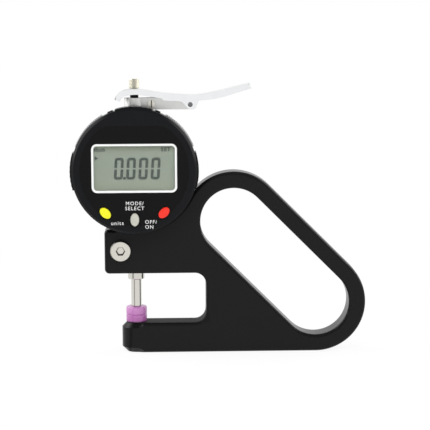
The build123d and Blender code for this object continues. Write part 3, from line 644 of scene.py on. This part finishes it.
def zero_digit(x, z, sizes):
    """A zero: a rounded ring with a gap half way up."""
    digit = display_plate(x, z, sizes.digit_width, sizes.digit_height, sizes.digit_corner)
    bpy.ops.object.mode_set(mode="EDIT")
    bpy.ops.mesh.select_all(action="SELECT")
    bpy.ops.mesh.inset(thickness=sizes.digit_stroke, depth=0)
    bpy.ops.mesh.delete(type="FACE")
    for side in (-1, 1):
        bpy.ops.mesh.select_all(action="SELECT")
        bpy.ops.mesh.bisect(plane_co=(x, 0, z + side * sizes.digit_gap / 2), plane_no=(0, 0, 1))
    half_gap = sizes.digit_gap / 2
    select_faces(digit, lambda face: abs(face.center.z - z) < half_gap)
    bpy.ops.mesh.delete(type="FACE")
    bpy.ops.object.mode_set(mode="OBJECT")
    return digit


def raise_print(piece, thickness):
    """Gives flat print its thickness, towards the reader."""
    alone(piece)
    apply_modifier(piece, "SOLIDIFY", thickness=thickness, offset=0.0)
    bpy.ops.object.mode_set(mode="EDIT")
    bpy.ops.mesh.select_all(action="SELECT")
    bpy.ops.mesh.normals_make_consistent(inside=False)
    bpy.ops.object.mode_set(mode="OBJECT")


def printed_text(words, side, x, z, front, height, thickness, bold):
    """Raised print facing the reader, at a place and a capital height."""
    start_clean()
    bpy.ops.object.text_add(location=(x, front, z), rotation=TO_READER)
    piece = bpy.context.object
    piece.data.body = words
    piece.data.align_x = side
    piece.data.align_y = "CENTER"
    piece.data.size = height / CAPITAL_SHARE
    piece.data.space_character = LETTER_SPACE
    piece.data.offset = bold
    piece.data.extrude = thickness / 2
    piece.data.resolution_u = LETTER_STEPS
    bpy.ops.object.convert(target="MESH")
    return bpy.context.object


class GAUGE_OT_frame_plate(bpy.types.Operator):
    """Finish the black frame plate"""
    bl_idname = "gauge.frame_plate"
    bl_label = "Frame plate"

    def execute(self, context):
        tones = context.scene.gauge_finishes
        eased_copy("frame", "gauge_body", anodised_finish(tones.anodised))
        return {"FINISHED"}


class GAUGE_OT_turned_pieces(bpy.types.Operator):
    """Finish the spindle, the stems, the screws and the other ground or plated pieces"""
    bl_idname = "gauge.turned_pieces"
    bl_label = "Turned metal pieces"

    def execute(self, context):
        tones = context.scene.gauge_finishes
        steel = worked_metal("ground_steel", tones.steel, roughness=0.16, lay=TURNED_ABOUT_Z)
        eased_copy("spindle", "spindle_body", steel)
        for node in ("stem", "upper_stem"):
            eased_copy(node, "gauge_body", steel)
        pin = worked_metal("burnished_pin", tones.burnished, roughness=0.3)
        eased_copy("lever_pin", "gauge_body", pin)
        dress(steel, "guide_pin", "guide_rail", "scale_carrier", "spring_post", "return_spring",
              "head_retainer")
        plate = worked_metal("screw_plate", tones.screw_plate, roughness=0.24, lay=TURNED_ABOUT_Y)
        eased_copy("cover_screws", "gauge_body", plate)
        dress(plate, "board_screws")
        # Painted shade in the slot and on the head's side, from just behind the head's front face backwards
        slotted = worked_metal("slotted_plate", tones.screw_plate, roughness=0.24,
                               recess=(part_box("bracket_screw")[0].y + RECESS_START, 0.0))
        eased_copy("bracket_screw", "gauge_body", slotted)
        bronze = plain_grain("sintered_bronze", tones.bronze, roughness=0.4, size=0.15 * MM, metallic=1.0)
        dress(bronze, "lower_bush", "inner_bush")
        dress(plain_grain("cell_can", tones.steel, roughness=0.25, size=0.3 * MM, metallic=1.0), "battery")
        return {"FINISHED"}


class GAUGE_OT_clamp_screw(bpy.types.Operator):
    """Make the button-head screw of the upper jaw, with its hexagon socket"""
    bl_idname = "gauge.clamp_screw"
    bl_label = "Clamp screw"

    def execute(self, context):
        tones = context.scene.gauge_finishes
        sizes = context.scene.gauge_print
        low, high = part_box("clamp_screw")
        centre = middle("clamp_screw")
        width = high.x - low.x
        head_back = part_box("frame")[0].y
        head_height = head_back - low.y
        start_clean()
        bpy.ops.mesh.primitive_cylinder_add(
            vertices=SCREW_SIDES, radius=width / 2, depth=head_height, end_fill_type="NGON",
            rotation=TO_READER, location=(centre.x, head_back - head_height / 2, centre.z))
        screw = bpy.context.object
        bpy.ops.object.transform_apply(location=True, rotation=True, scale=True)
        select_faces(screw, lambda face: face.normal.y < -FACING)
        bpy.ops.mesh.bevel(offset=sizes.button_round, segments=SCREW_ROUND_STEPS, affect="EDGES")
        select_faces(screw, lambda face: face.normal.y > FACING)
        bpy.ops.mesh.inset(thickness=width * SCREW_NECK_INSET, depth=0)
        bpy.ops.mesh.extrude_region_move(TRANSFORM_OT_translate={"value": (0, high.y - head_back, 0)})
        bpy.ops.object.mode_set(mode="OBJECT")
        start_clean()
        mouth = (centre.x, low.y, centre.z)
        corner = sizes.socket_flat / math.sqrt(3)
        bpy.ops.mesh.primitive_cone_add(
            vertices=6, radius1=corner - sizes.socket_draft, radius2=corner + sizes.socket_draft,
            depth=2 * sizes.socket_depth, end_fill_type="NGON", rotation=TO_READER, location=mouth)
        cutter = bpy.context.object
        bpy.ops.transform.rotate(value=math.radians(90), orient_axis="Y", center_override=mouth)
        alone(screw)
        apply_modifier(screw, "BOOLEAN", operation="DIFFERENCE", solver="EXACT", object=cutter)
        bpy.data.objects.remove(cutter)
        smooth_edges(screw)
        # Painted shade on the socket's walls
        plate = worked_metal("button_plate", tones.screw_plate, roughness=0.24,
                             recess=(low.y + RECESS_START, low.y + sizes.socket_depth))
        settle(screw, "clamp_button_screw", "gauge_body", plate)
        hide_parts("clamp_screw")
        return {"FINISHED"}


class GAUGE_OT_lever_pieces(bpy.types.Operator):
    """Finish the lifting lever and its bracket, with softly rounded edges"""
    bl_idname = "gauge.lever_pieces"
    bl_label = "Lever and bracket"

    def execute(self, context):
        tones = context.scene.gauge_finishes
        sizes = context.scene.gauge_print
        bright = worked_metal("polished_plate", tones.polish, roughness=0.2, lay=DRAWN_ALONG)
        lever = merged_copy("lifting_lever")
        pin = middle("lever_pin")
        self.shift(lever, CROWN_X, CROWN_REACH, sizes.crown_lift,
                   lambda point, top: point.z > pin.z + CROWN_OVER_PIN)
        self.shift(lever, HAND_X, HAND_REACH, -sizes.flange_drop,
                   lambda point, top: point.x > HAND_START and point.z < top - FLANGE_START)
        smooth_edges(lever, sizes.lever_round)
        settle(lever, "finished_lever", "lever_body", bright)
        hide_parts("lifting_lever")
        satin = worked_metal("satin_casting", tones.casting, roughness=0.36)
        eased_copy("lever_bracket", "gauge_body", satin, sizes.casting_round)
        return {"FINISHED"}

    def shift(self, lever, x, reach, rise, loose):
        """Moves the lever's loose points up or down about a place, fading out to both sides."""
        tops = [(point.co.x, point.co.z) for point in lever.data.vertices]
        bpy.ops.object.mode_set(mode="EDIT")
        bpy.ops.mesh.select_mode(type="VERT")
        bpy.ops.mesh.select_all(action="DESELECT")
        bpy.ops.object.mode_set(mode="OBJECT")
        for point in lever.data.vertices:
            top = max(z for other, z in tops if abs(other - point.co.x) < TOP_SEARCH)
            free = loose(point.co, top)
            point.hide = not free
            point.select = free and abs(point.co.x - x) < HELD_HALF
        bpy.ops.object.mode_set(mode="EDIT")
        bpy.ops.transform.translate(value=(0, 0, rise), use_proportional_edit=True,
                                    proportional_edit_falloff="SMOOTH", proportional_size=reach)
        bpy.ops.mesh.reveal()
        bpy.ops.object.mode_set(mode="OBJECT")


class GAUGE_OT_anvils(bpy.types.Operator):
    """Finish the two lilac anvils"""
    bl_idname = "gauge.anvils"
    bl_label = "Anvils"

    def execute(self, context):
        ceramic = ceramic_finish(context.scene.gauge_finishes.lilac)
        eased_copy("lower_anvil", "gauge_body", ceramic)
        eased_copy("upper_anvil", "spindle_body", ceramic)
        return {"FINISHED"}


class GAUGE_OT_mouldings(bpy.types.Operator):
    """Finish the reading head, its keys and window, and the case behind it"""
    bl_idname = "gauge.mouldings"
    bl_label = "Mouldings, keys and window"

    def execute(self, context):
        tones = context.scene.gauge_finishes
        sizes = context.scene.gauge_print
        black = moulding_finish(tones.moulding)
        eased_copy("head_shell", "reading_head", black, crease=SHELL_CREASE)
        for node in ("rear_housing", "back_cover", "dust_collar"):
            eased_copy(node, "gauge_body", black)
        dress(black, "head_back_plate", "battery_holder")
        eased_copy("face_label", "reading_head", film_finish(tones.film))
        eased_copy("window_frame", "reading_head", satin_plastic("window_white", tones.window_white),
                   sizes.frame_round)
        dress(display_finish(tones.display), "lcd_panel")
        dress(lens_finish(), "window_lens")
        for node, name, tone in (("units_button", "yellow_key", tones.yellow),
                                 ("preset_button", "grey_key", tones.grey),
                                 ("zero_button", "red_key", tones.red)):
            body = node.replace("button", "key")
            eased_copy(node, body, satin_plastic(name, tone))
        green = plain_grain("board_green", tones.mask, roughness=0.35, size=0.4 * MM)
        dress(green, "circuit_board", "reading_sensor")
        dress(plain_grain("pad_rubber", tones.rubber, roughness=0.6, size=0.2 * MM), "button_pad")
        dress(plain_grain("scale_glass", SCALE_GLASS, roughness=0.08, size=0.5 * MM), "encoder_scale")
        return {"FINISHED"}


class GAUGE_OT_display_digits(bpy.types.Operator):
    """Make the display's digits, point and small signs"""
    bl_idname = "gauge.display_digits"
    bl_label = "Display digits"

    def execute(self, context):
        sizes = context.scene.gauge_print
        tone = context.scene.gauge_finishes.segment
        ink = satin_plastic("display_segment", tone, roughness=0.4, gloss=0.2)
        centre_z = window.z + DIGIT_DROP
        plates = [zero_digit(FIRST_DIGIT_X + place * sizes.digit_pitch, centre_z, sizes)
                  for place in range(DIGIT_COUNT)]
        dot = sizes.digit_stroke
        plates.append(display_plate(
            FIRST_DIGIT_X + sizes.digit_pitch / 2, centre_z - sizes.digit_height / 2 + dot / 2,
            dot, dot, dot / 4))
        digits = join_pieces(plates)
        raise_print(digits, sizes.print_thickness)
        lean = math.tan(sizes.digit_slant)
        digits.data.transform(Matrix.Translation((-lean * centre_z, 0, 0)))
        digits.data.transform(Matrix(((1, 0, lean, 0), (0, 1, 0, 0), (0, 0, 1, 0), (0, 0, 0, 1))))
        settle(digits, "display_digits", "reading_head", ink)
        signs = [printed_text(words, "CENTER", x, window.z + z, lcd_low.y, height,
                              sizes.print_thickness, SIGN_BOLD)
                 for words, x, z, height in SIGNS]
        start_clean()
        bpy.ops.mesh.primitive_circle_add(
            vertices=3, radius=ARROW_SIZE, fill_type="NGON", rotation=(math.pi / 2, math.pi / 2, 0),
            location=(ARROW_X, lcd_low.y, window.z + ARROW_RISE))
        arrow = bpy.context.object
        bpy.ops.object.transform_apply(location=True, rotation=True, scale=True)
        raise_print(arrow, sizes.print_thickness)
        settle(join_pieces([*signs, arrow]), "display_signs", "reading_head", ink)
        return {"FINISHED"}


class GAUGE_OT_face_print(bpy.types.Operator):
    """Print the keys' plain words on the face"""
    bl_idname = "gauge.face_print"
    bl_label = "Face print"

    def execute(self, context):
        sizes = context.scene.gauge_print
        ink = satin_plastic("white_print", context.scene.gauge_finishes.ink, roughness=0.5, gloss=0.2)
        words = [printed_text(text, side, x, dial.z + z, label_front, height, sizes.print_thickness,
                              sizes.bold)
                 for text, side, x, z, height in LEGENDS]
        settle(join_pieces(words), "face_legends", "reading_head", ink)
        return {"FINISHED"}


class GAUGE_OT_knurled_cap(bpy.types.Operator):
    """Make the lifting cap with its knurled side"""
    bl_idname = "gauge.knurled_cap"
    bl_label = "Knurled cap"

    def execute(self, context):
        sizes = context.scene.gauge_print
        size = extent("top_cap")
        centre = middle("top_cap")
        start_clean()
        bpy.ops.mesh.primitive_cylinder_add(
            vertices=sizes.knurl_count, radius=size.x / 2 - sizes.knurl_depth, depth=size.z,
            end_fill_type="NGON", location=centre)
        cap = bpy.context.object
        bpy.ops.object.transform_apply(location=True, rotation=True, scale=True)
        select_faces(cap, lambda face: abs(face.normal.z) > FACING)
        bpy.ops.mesh.bevel(offset=sizes.cap_chamfer, segments=1, affect="EDGES")
        low = centre.z - size.z / 2 + sizes.cap_chamfer
        height = size.z - 2 * sizes.cap_chamfer
        for row in range(1, sizes.knurl_rows):
            bpy.ops.mesh.select_all(action="SELECT")
            bpy.ops.mesh.bisect(plane_co=(0, 0, low + height * row / sizes.knurl_rows), plane_no=(0, 0, 1))
        select_faces(cap, lambda face: abs(face.normal.z) < FACING)
        bpy.ops.mesh.poke(offset=sizes.knurl_depth)
        bpy.ops.object.mode_set(mode="OBJECT")
        nickel = worked_metal("warm_nickel", context.scene.gauge_finishes.nickel, roughness=0.45)
        settle(cap, "knurled_cap", "spindle_body", nickel)
        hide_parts("top_cap")
        return {"FINISHED"}


class GAUGE_OT_studio(bpy.types.Operator):
    """Set up the floor, the lamps, the world and the camera"""
    bl_idname = "gauge.studio"
    bl_label = "Studio"

    def execute(self, context):
        sizes = context.scene.gauge_studio
        context.scene.view_settings.view_transform = "Standard"
        self.make_floor(sizes)
        self.make_world(sizes)
        self.make_camera(sizes)
        aim = Vector(sizes.aim)
        front = self.make_lamp("front_lamp", aim + Vector(FRONT_LAMP_PLACE), aim, *FRONT_LAMP_SIZE,
                               sizes.front_power)
        front.visible_glossy = False
        for name, place in (("left_lamp", LEFT_LAMP_PLACE), ("right_lamp", RIGHT_LAMP_PLACE)):
            self.make_lamp(name, aim + Vector(place), aim, *SIDE_LAMP_SIZE, sizes.side_power)
        return {"FINISHED"}

    def surroundings(self, finish, x, y, front, sizes):
        """What shiny surfaces see in a level direction: bright behind, less in front, two dark strips."""
        heading = finish.node("Math", {"operation": "ARCTAN2"}, {0: x, 1: 0 - y})
        level = finish.remap(abs(heading), FRONT_END, BACK_START, front, 1.0)
        for strip in (sizes.left_strip, sizes.right_strip):
            off = abs(heading - strip)
            level = level * finish.remap(off, sizes.strip_half * STRIP_INNER,
                                         sizes.strip_half * STRIP_OUTER, 1 - sizes.strip_depth, 1.0)
        return level

    def ray_kinds(self, finish):
        return [finish.node("LightPath", out="Is " + name + " Ray")
                for name in ("Camera", "Glossy", "Transmission")]

    def make_floor(self, sizes):
        start_clean()
        bpy.ops.mesh.primitive_plane_add(size=FLOOR_SIZE, location=(0, 0, 0))
        floor = bpy.context.object
        floor.name = "studio_floor"
        coat = Coat("studio_floor", roughness=0.9, gloss=0.1)
        grain = coat.noise(4 * MM, 2.0)
        coat.set("Base Color", coat.mix(grain, shade(FLOOR_WHITE, 0.99), FLOOR_WHITE))
        x, y = coat.along("X"), coat.along("Y")
        camera, glossy, passing = self.ray_kinds(coat)
        glow = coat.node("Emission", inputs={
            "Color": (1, 1, 1),
            "Strength": camera + passing + glossy * self.surroundings(coat, x, y, sizes.front_room, sizes)})
        reach = ((x - gauge_middle.x) ** 2 + (y - gauge_middle.y) ** 2) ** 0.5
        near = 1 - coat.remap(reach, SHADOW_NEAR, SHADOW_FAR)
        amount = (camera + glossy + passing) * (1 - sizes.shadow_share * near)
        shaded = Value(coat, coat.surface.outputs[0])
        both = coat.node("MixShader", inputs={0: amount, 1: shaded, 2: glow})
        coat.join(both, coat.tree.nodes["Material Output"].inputs["Surface"])
        floor.data.materials.append(coat.material)

    def make_world(self, sizes):
        world = bpy.data.worlds.new("studio_world")
        world.use_nodes = True
        bpy.context.scene.world = world
        world.node_tree.nodes.clear()
        sky = Finish(world.node_tree)
        camera, glossy, passing = self.ray_kinds(sky)
        heading = sky.node("TexCoord", out="Generated")
        x, y, z = (sky.node("SeparateXYZ", inputs={0: heading}, out=axis) for axis in "XYZ")
        front = sky.remap(z, *FRONT_FADE, sizes.front_room, sizes.front_wall)
        level = self.surroundings(sky, x, y, front, sizes)
        high = sky.remap(z, *CEILING_FADE)
        level = level * (1 - high) + high * sizes.ceiling
        plain = 1 - (camera + glossy + passing)
        light = sky.node("Background", inputs={
            "Color": (1, 1, 1), "Strength": camera + passing + glossy * level + plain * sizes.fill})
        end = world.node_tree.nodes.new("ShaderNodeOutputWorld")
        sky.join(light, end.inputs["Surface"])

    def make_camera(self, sizes):
        data = bpy.data.cameras.new("studio_camera")
        camera = bpy.data.objects.new("studio_camera", data)
        bpy.context.scene.collection.objects.link(camera)
        data.lens = sizes.lens
        data.sensor_width = SENSOR_WIDTH
        data.clip_start = CLIP_START
        data.clip_end = CLIP_END
        across, up = sizes.azimuth, sizes.elevation
        back = Vector((math.sin(across) * math.cos(up), -math.cos(across) * math.cos(up), math.sin(up)))
        camera.location = Vector(sizes.aim) + back * sizes.distance
        turn = (-back).to_track_quat("-Z", "Y").to_matrix()
        roll = Matrix.Rotation(-sizes.roll, 3, "Z")
        camera.rotation_euler = (turn @ roll).to_euler()
        bpy.context.scene.camera = camera

    def make_lamp(self, name, place, aim, width, height, watts):
        data = bpy.data.lights.new(name, "AREA")
        data.shape = "RECTANGLE"
        data.size = width
        data.size_y = height
        data.energy = watts
        lamp = bpy.data.objects.new(name, data)
        bpy.context.scene.collection.objects.link(lamp)
        lamp.location = place
        lamp.rotation_euler = (aim - place).to_track_quat("-Z", "Y").to_euler()
        return lamp


class GAUGE_PT_panel(bpy.types.Panel):
    """Lists the gauge's finishing steps"""
    bl_label = "Thickness gauge"
    bl_idname = "GAUGE_PT_panel"
    bl_space_type = "VIEW_3D"
    bl_region_type = "UI"
    bl_category = "Gauge"

    def draw(self, context):
        for step in STEPS:
            self.layout.operator(step.bl_idname)
        for group in (context.scene.gauge_finishes, context.scene.gauge_print, context.scene.gauge_studio):
            for name in group.__annotations__:
                self.layout.prop(group, name)


STEPS = (
    GAUGE_OT_frame_plate,
    GAUGE_OT_turned_pieces,
    GAUGE_OT_clamp_screw,
    GAUGE_OT_lever_pieces,
    GAUGE_OT_anvils,
    GAUGE_OT_mouldings,
    GAUGE_OT_display_digits,
    GAUGE_OT_face_print,
    GAUGE_OT_knurled_cap,
    GAUGE_OT_studio,
)
GROUPS = {
    "gauge_finishes": GaugeFinishSettings,
    "gauge_print": GaugePrintSettings,
    "gauge_studio": GaugeStudioSettings,
}


def register():
    for name, group in GROUPS.items():
        bpy.utils.register_class(group)
        setattr(bpy.types.Scene, name, bpy.props.PointerProperty(type=group))
    for step in STEPS:
        bpy.utils.register_class(step)
    bpy.utils.register_class(GAUGE_PT_panel)


def unregister():
    bpy.utils.unregister_class(GAUGE_PT_panel)
    for step in reversed(STEPS):
        bpy.utils.unregister_class(step)
    for name, group in GROUPS.items():
        delattr(bpy.types.Scene, name)
        bpy.utils.unregister_class(group)


def main():
    register()
    bpy.ops.gauge.frame_plate()
    bpy.ops.gauge.turned_pieces()
    bpy.ops.gauge.clamp_screw()
    bpy.ops.gauge.lever_pieces()
    bpy.ops.gauge.anvils()
    bpy.ops.gauge.mouldings()
    bpy.ops.gauge.display_digits()
    bpy.ops.gauge.face_print()
    bpy.ops.gauge.knurled_cap()
    bpy.ops.gauge.studio()


if __name__ == "__main__":
    main()
